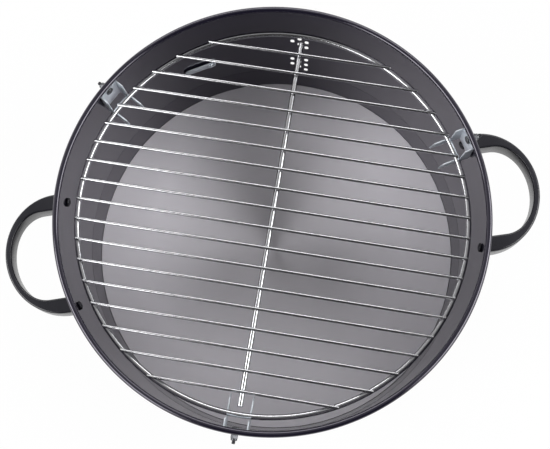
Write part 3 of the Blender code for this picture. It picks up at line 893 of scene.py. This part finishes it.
def make_grate(chrome):
    """Ring, bars and spine in plated wire, with the welds that join them."""
    section = arc((RING_RADIUS, GRATE_HEIGHT), RING_WIRE_RADIUS, 0, 360, WIRE_SIDES)[:-1]
    ring = turned_mesh("wire_ring", section, closed=True)
    add_piece("wire_ring", ring, "grate", chrome, "chrome_wire", "grate_ring")
    make_bars(chrome)
    spine = wire_mesh("wire_spine", SPINE_WIRE_RADIUS, SPINE_LENGTH)
    quarter = Matrix.Rotation(BAR_ANGLE + math.pi / 2, 4, "Z")
    spine.transform(Matrix.Translation((0.0, 0.0, SPINE_HEIGHT)) @ quarter)
    add_piece("wire_spine", spine, "grate", chrome, "chrome_wire", "grate_spine")
    make_welds(chrome)


def bracket_back():
    """Distance from the axis to the bracket's back face."""
    radius = wall_inner_radius(BRACKET_TOP - BRACKET_PLATE_HEIGHT) - CLEARANCE
    return math.sqrt(radius**2 - (BRACKET_WIDTH / 2) ** 2)


def bracket_side_outline():
    """Side of a bracket as (distance from the axis, height): shoulder, seat, arm and tip."""
    wall_end = bracket_back() + CUT_MARGIN
    seat = GRATE_HEIGHT - RING_WIRE_RADIUS - CLEARANCE
    seat_outer = RING_RADIUS + RING_WIRE_RADIUS + CLEARANCE
    ring_sag = RING_RADIUS - math.sqrt(RING_RADIUS**2 - (BRACKET_WIDTH / 2) ** 2)
    seat_inner = RING_RADIUS - RING_WIRE_RADIUS - ring_sag - CLEARANCE
    arm_top = GRATE_HEIGHT + RING_WIRE_RADIUS - BRACKET_ARM_DROP
    arm_end = seat_inner - BRACKET_ARM_LENGTH
    tip = arm_end - BRACKET_TIP_SLOPE
    tip_top = arm_top - BRACKET_TIP_FALL
    return [
        (wall_end, BRACKET_TOP),
        (seat_outer + BRACKET_SHOULDER, BRACKET_TOP),
        (seat_outer, GRATE_HEIGHT),
        (seat_outer, seat),
        (seat_inner, seat),
        (seat_inner, arm_top),
        (arm_end, arm_top),
        (tip, tip_top),
        (tip, tip_top - BRACKET_TIP_HEIGHT),
        (wall_end, BRACKET_TOP - BRACKET_PLATE_HEIGHT),
    ]


def bracket_channel(inner_end):
    """Bent sheet of a bracket from above: a U whose arms run in to a distance from the axis."""
    half = BRACKET_WIDTH / 2
    inner_bend = BRACKET_BEND_RADIUS - BRACKET_SHEET
    bend_x = bracket_back() - BRACKET_BEND_RADIUS
    bend_y = half - BRACKET_BEND_RADIUS
    channel = [(inner_end, -half)]
    channel += arc((bend_x, -bend_y), BRACKET_BEND_RADIUS, -90, 0, OUTER_BEND_STEPS)
    channel += arc((bend_x, bend_y), BRACKET_BEND_RADIUS, 0, 90, OUTER_BEND_STEPS)
    channel += [(inner_end, half), (inner_end, half - BRACKET_SHEET)]
    channel += arc((bend_x, bend_y), inner_bend, 90, 0, INNER_BEND_STEPS)
    channel += arc((bend_x, -bend_y), inner_bend, 0, -90, INNER_BEND_STEPS)
    channel += [(inner_end, -half + BRACKET_SHEET)]
    return channel


def bracket_mesh():
    """U bracket at angle zero, bent from sheet, with softly broken edges."""
    side = bracket_side_outline()
    channel = bracket_channel(min(r for r, _ in side) - CUT_MARGIN)
    blank = outline_mesh("bracket_blank", channel, BRACKET_PLATE_HEIGHT + CUT_MARGIN)
    blank.transform(Matrix.Translation((0.0, 0.0, BRACKET_TOP - BRACKET_PLATE_HEIGHT / 2)))
    side_solid = outline_mesh("bracket_side", side, BRACKET_WIDTH + CUT_MARGIN)
    side_solid.transform(Matrix.Rotation(math.pi / 2, 4, "X"))
    shape = cut_mesh(blank, [side_solid], "bracket", operation="INTERSECT")
    frame = inward_frame(0.0, bracket_back(), BRACKET_SCREW_HEIGHT)
    shape = cut_mesh(shape, [round_tool(frame, BRACKET_SCREW_RADIUS + CLEARANCE)], "bracket")
    return bevelled_mesh(shape, "bracket", BRACKET_EDGE)


def thread_rings(radius, pitch, start, end):
    """Rings of a V thread between two heights, with a chamfer at the lower end."""
    depth = THREAD_DEPTH_SHARE * pitch
    rows = round((start - end) / pitch * THREAD_ROWS)
    rings = []
    for k in range(rows + 1):
        height = start + (end - start) * k / rows
        chamfer = min(1.0, (height - end) / pitch)
        cut = depth * min(1.0, chamfer + THREAD_END_SHARE)
        ring = []
        for i in range(SCREW_SIDES):
            turn = i / SCREW_SIDES
            phase = (height / pitch - turn) % 1.0
            crest = THREAD_FLANK * abs(2 * phase - 1) - THREAD_ROOT
            groove = cut * (1 - max(0.0, min(1.0, crest)))
            r = radius - groove - (1 - chamfer) * depth
            ring.append((r * math.cos(math.tau * turn), r * math.sin(math.tau * turn), height))
        rings.append(ring)
    return rings


def recess_bar(name, head_radius, head_height, turn):
    """Cutter for one bar of the cross recess in a screw's head."""
    work = bmesh.new()
    bmesh.ops.create_cube(work, size=1.0)
    size = (RECESS_SHARE * head_radius, RECESS_WIDTH, 2 * RECESS_DEPTH)
    bmesh.ops.scale(work, vec=size, verts=work.verts)
    place = Matrix.Translation((0, 0, head_height)) @ Matrix.Rotation(turn, 4, "Z")
    bmesh.ops.transform(work, matrix=place, verts=work.verts)
    return tidy_mesh(work, name)


def screw_mesh(name, radius, pitch, head, length):
    """Pan-head screw along Z with a cross recess and a threaded shank below the origin."""
    head_radius, head_height = head
    rim_height = head_height * HEAD_RIM_SHARE
    dome_radii = (head_radius, head_height - rim_height)
    profile = [(0.0, head_height)]
    profile += oval((0.0, rim_height), dome_radii, HEAD_DOME_DEG, 0, HEAD_STEPS)
    profile += [(head_radius, HEAD_EDGE), (head_radius - HEAD_EDGE, 0.0), (0.0, 0.0)]
    cap = turned_mesh(f"{name}_head", profile, steps=SCREW_SIDES)
    for turn in (0, math.pi / 2):
        bar = recess_bar(f"{name}_recess", head_radius, head_height, turn)
        cap = cut_mesh(cap, [bar], f"{name}_head")
    shank = lofted_mesh(f"{name}_shank", thread_rings(radius, pitch, SHANK_OVERLAP, -length))
    return joined_mesh(name, [cap, shank])


def nut_mesh():
    """Lock nut along -Z from the origin: chamfered hexagon, then a round collar."""
    half = NUT_FLATS / 2
    corner = half / math.cos(math.pi / 6)
    shoulder = corner * NUT_SHOULDER_SHARE
    collar = half * NUT_COLLAR_SHARE
    hex_end = NUT_HEIGHT * NUT_HEX_SHARE
    bore = BRACKET_SCREW_RADIUS + NUT_BORE_SLACK
    depths_and_limits = [
        (0.0, half * NUT_FACE_SHARE),
        (NUT_CHAMFER, shoulder),
        (2 * NUT_CHAMFER, corner),
        (hex_end - 2 * NUT_CHAMFER, corner),
        (hex_end - NUT_CHAMFER, shoulder),
        (hex_end, collar),
        (NUT_HEIGHT - 2 * NUT_CHAMFER, collar),
        (NUT_HEIGHT - NUT_COLLAR_EDGE, collar * NUT_COLLAR_EDGE_SHARE),
        (NUT_HEIGHT, collar * NUT_COLLAR_END_SHARE),
        (NUT_HEIGHT, bore),
        (0.0, bore),
    ]
    rings = []
    for depth, limit in depths_and_limits:
        ring = []
        for i in range(NUT_SIDES):
            angle = math.tau * i / NUT_SIDES
            flat = half / math.cos((angle % (math.pi / 3)) - math.pi / 6)
            r = min(flat, limit)
            ring.append((r * math.cos(angle), r * math.sin(angle), -depth))
        rings.append(ring)
    return lofted_mesh("nut", rings, closed=True, smooth_deg=NUT_SMOOTH_DEG)


def make_brackets(zinc, grey_zinc):
    """Three bright brackets with their duller screws and nuts."""
    shape = bracket_mesh()
    screw = screw_mesh(
        "bracket_screw",
        BRACKET_SCREW_RADIUS,
        BRACKET_SCREW_PITCH,
        BRACKET_SCREW_HEAD,
        BRACKET_SCREW_LENGTH,
    )
    nut = nut_mesh()
    head_seat = bracket_back() - BRACKET_SHEET - CLEARANCE
    nut_seat = wall_inner_radius(BRACKET_SCREW_HEIGHT) + WALL_SHEET + CLEARANCE
    for side, angle in BRACKET_ANGLES.items():
        screw_frame = inward_frame(angle, head_seat, BRACKET_SCREW_HEIGHT)
        nut_frame = inward_frame(angle, nut_seat, BRACKET_SCREW_HEIGHT)
        for kind, source, frame, material in (
            ("bracket", shape, radial_frame(angle), zinc),
            ("bracket_screw", screw, screw_frame, grey_zinc),
            ("bracket_nut", nut, nut_frame, grey_zinc),
        ):
            mesh = source.copy()
            mesh.transform(frame)
            add_piece(f"fine_{kind}_{side}", mesh, "bowl", material, "zinc_plate", f"{kind}_{side}")


def handle_outline():
    """Loop seen from above, X outward: thick at the wall and thin at the grip."""
    opening_x = RIM_RADIUS + HANDLE_OPENING_OFFSET
    opening_reach = HANDLE_STANDOFF - HANDLE_GRIP_THICKNESS - HANDLE_OPENING_OFFSET
    opening_half = HANDLE_HALF_WIDTH - HANDLE_ROOT_THICKNESS
    root = RIM_RADIUS - HANDLE_ROOT_THICKNESS - CUT_MARGIN
    outline = [(root, -HANDLE_HALF_WIDTH)]
    outline += oval((RIM_RADIUS, 0.0), (HANDLE_STANDOFF, HANDLE_HALF_WIDTH), -90, 90, HANDLE_STEPS)
    outline += [(root, HANDLE_HALF_WIDTH), (root, opening_half)]
    outline += oval((opening_x, 0.0), (opening_reach, opening_half), 90, -90, HANDLE_STEPS)
    outline += [(root, -opening_half)]
    return outline


def bowl_tool():
    """Cutter in the form of the bowl's outside, reaching above and below the handles."""
    low = HANDLE_MID_HEIGHT - HANDLE_HEIGHT
    high = HANDLE_MID_HEIGHT + HANDLE_HEIGHT
    outside = WALL_SHEET + CLEARANCE
    bowl = cylinder_mesh(
        "bowl_tool",
        wall_inner_radius(low) + outside,
        high - low,
        sides=TURNED_STEPS,
        top_radius=wall_inner_radius(high) + outside,
    )
    bowl.transform(Matrix.Translation((0.0, 0.0, HANDLE_MID_HEIGHT)))
    return bowl


def make_handles(plastic, dark):
    """Moulded loops with rounded edges, and the screws that hold them."""
    screw = screw_mesh(
        "handle_screw",
        HANDLE_SCREW_RADIUS,
        HANDLE_SCREW_PITCH,
        HANDLE_SCREW_HEAD,
        HANDLE_SCREW_LENGTH,
    )
    hole = (HANDLE_SCREW_RADIUS + CLEARANCE, 2 * (HANDLE_SCREW_LENGTH + CLEARANCE))
    for side, centre in HANDLE_CENTRES.items():
        mesh = outline_mesh(f"handle_{side}", handle_outline(), HANDLE_HEIGHT)
        mesh = bevelled_mesh(
            mesh,
            f"handle_{side}",
            HANDLE_EDGE_RADIUS,
            segments=HANDLE_EDGE_SEGMENTS,
            limit_deg=HANDLE_EDGE_LIMIT_DEG,
        )
        mesh.transform(radial_frame(centre, 0.0, HANDLE_MID_HEIGHT))
        name = f"moulded_handle_{side}"
        frames = handle_screw_frames(side)
        mesh = cut_mesh(mesh, [bowl_tool()], name)
        mesh = cut_mesh(mesh, [round_tool(frame, *hole) for frame in frames.values()], name)
        add_piece(name, mesh, "bowl", plastic, "handle_plastic", f"handle_{side}")
        for end, frame in frames.items():
            shape = screw.copy()
            shape.transform(frame)
            node = f"handle_screw_{side}_{end}"
            add_piece(f"fine_{node}", shape, "bowl", dark, "screw_steel", node)


def make_clip(zinc):
    """Small flat strip with one round end."""
    radius = CLIP_WIDTH / 2
    reach = CLIP_LENGTH / 2 - radius
    outline = arc((reach, 0), radius, -90, 90, CLIP_END_STEPS)
    outline += [(-CLIP_LENGTH / 2, radius), (-CLIP_LENGTH / 2, -radius)]
    strip = outline_mesh("clip", outline, CLIP_SHEET)
    strip.transform(Matrix.Rotation(math.pi / 2, 4, "Z") @ Matrix.Rotation(math.pi / 2, 4, "X"))
    hole = round_tool(rivet_frame(Matrix.Identity(4)), RIVET_RADIUS + CLEARANCE)
    strip = cut_mesh(strip, [hole], "clip")
    strip = bevelled_mesh(strip, "steel_clip", CLIP_EDGE)
    strip.transform(clip_frame(clip_back() - CLIP_SHEET / 2))
    add_piece("steel_clip", strip, "bowl", zinc, "zinc_plate", "wall_clip")


def make_clip_rivet(zinc):
    """Rivet with a domed head at both ends, through the clip and the wall."""
    inner = clip_back() - CLIP_SHEET - CLEARANCE
    length = wall_inner_radius(CLIP_HEIGHT) + WALL_SHEET + CLEARANCE - inner
    dome = oval((0.0, 0.0), (RIVET_HEAD_RADIUS, RIVET_HEAD_HEIGHT), 90, 0, RIVET_STEPS)
    profile = dome + [(RIVET_RADIUS, 0.0), (RIVET_RADIUS, -length)]
    profile += [(r, -length - z) for r, z in reversed(dome)]
    rivet = turned_mesh("clip_rivet", profile, steps=SCREW_SIDES)
    rivet.transform(rivet_frame(clip_frame(inner)))
    add_piece("clip_rivet", rivet, "bowl", zinc, "zinc_plate", "wall_clip_rivet")


# Studio


def make_floor():
    """Pale floor that reads white to the camera and in reflections, and keeps a faint shadow."""
    half = FLOOR_HALF_WIDTH
    corners = [(-half, -half), (half, -half), (half, half), (-half, half)]
    mesh = outline_mesh("floor", corners, FLOOR_THICKNESS)
    mesh.transform(Matrix.Translation((0, 0, -FLOOR_THICKNESS / 2 - FLOOR_GAP)))
    floor = scratch_object(mesh)
    graph = Finish("pale_floor")
    nodes = graph.tree.nodes
    share = graph.maths("MULTIPLY", graph.seen(), FLOOR_GLOW_SHARE)
    matt = graph.node("ShaderNodeBsdfDiffuse")
    matt.inputs["Color"].default_value = FLOOR_COLOUR
    glow = graph.node("ShaderNodeEmission")
    blend = graph.node("ShaderNodeMixShader")
    graph.link(share, blend.inputs["Fac"])
    graph.link(matt.outputs["BSDF"], blend.inputs[1])
    graph.link(glow.outputs["Emission"], blend.inputs[2])
    nodes.remove(graph.shader)
    graph.link(blend.outputs["Shader"], nodes["Material Output"].inputs["Surface"])
    mesh.materials.append(graph.material)


def make_world():
    """Even surroundings for lighting, graded where they are mirrored and white to the camera."""
    world = bpy.data.worlds.new("studio")
    bpy.context.scene.world = world
    world.use_nodes = True
    graph = NodeGraph(world.node_tree)
    direction = graph.node("ShaderNodeSeparateXYZ")
    coordinates = graph.node("ShaderNodeTexCoord")
    graph.link(coordinates.outputs["Generated"], direction.inputs["Vector"])
    above = graph.ease(direction.outputs["Z"], HORIZON_BAND, 1.0, SKY_LEVEL)
    behind = graph.ease(direction.outputs["Y"], FRONT_BAND, FRONT_LEVEL, 1.0)
    sideways = graph.maths("ABSOLUTE", direction.outputs["X"])
    sides = graph.ease(sideways, SIDE_BAND, 0.0, 1.0)
    sky = graph.maths("MAXIMUM", graph.maths("MULTIPLY", above, behind), sides)
    paths = graph.node("ShaderNodeLightPath").outputs
    shown = graph.maths("MAXIMUM", sky, paths["Is Camera Ray"])
    level = graph.node("ShaderNodeMix")
    level.inputs["A"].default_value = FILL_LEVEL
    graph.link(graph.seen(), level.inputs["Factor"])
    graph.link(shown, level.inputs["B"])
    background = graph.tree.nodes["Background"]
    background.inputs["Color"].default_value = (1.0, 1.0, 1.0, 1.0)
    graph.link(level.outputs["Result"], background.inputs["Strength"])


def make_lamps():
    """Soft rectangular lamps, all aimed at the bowl."""
    for name, (place, size, power) in LAMPS.items():
        data = bpy.data.lights.new(name, "AREA")
        data.shape = "RECTANGLE"
        data.size, data.size_y = size
        data.energy = power
        lamp = bpy.data.objects.new(name, data)
        bpy.context.scene.collection.objects.link(lamp)
        lamp.location = place
        lamp.rotation_euler = (LAMP_TARGET - place).to_track_quat("-Z", "Y").to_euler()


def make_camera():
    """Camera high over the near side, turned a little about its line of sight."""
    data = bpy.data.cameras.new("camera")
    data.sensor_width = SENSOR_WIDTH
    data.sensor_fit = "HORIZONTAL"
    data.lens = LENS
    data.shift_x, data.shift_y = CAMERA_SHIFT
    data.clip_start = CAMERA_NEAR
    camera = bpy.data.objects.new("camera", data)
    bpy.context.scene.collection.objects.link(camera)
    right = CAMERA_LOOK.cross(CAMERA_UP).normalized()
    up = right.cross(CAMERA_LOOK).normalized()
    turn = Matrix((right, up, -CAMERA_LOOK.normalized())).transposed()
    camera.matrix_world = Matrix.Translation(CAMERA_PLACE) @ turn.to_4x4()
    bpy.context.scene.camera = camera


def main():
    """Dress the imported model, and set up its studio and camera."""
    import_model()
    bpy.context.scene.view_settings.view_transform = "Standard"
    make_camera()

    enamel = black_enamel()
    steel = brushed_steel()
    chrome = chrome_wire()
    zinc = zinc_plate("zinc_plate", BRIGHT_ZINC_COLOURS, BRIGHT_ZINC_ROUGHNESS)
    grey_zinc = zinc_plate("grey_zinc", GREY_ZINC_COLOURS, GREY_ZINC_ROUGHNESS)
    dark = dark_steel()
    plastic = handle_black()

    make_wall(enamel)
    make_pan(enamel)
    make_fire_plate(steel)
    make_grate(chrome)
    make_brackets(zinc, grey_zinc)
    make_handles(plastic, dark)
    make_clip(zinc)
    make_clip_rivet(zinc)

    make_floor()
    make_world()
    make_lamps()


main()
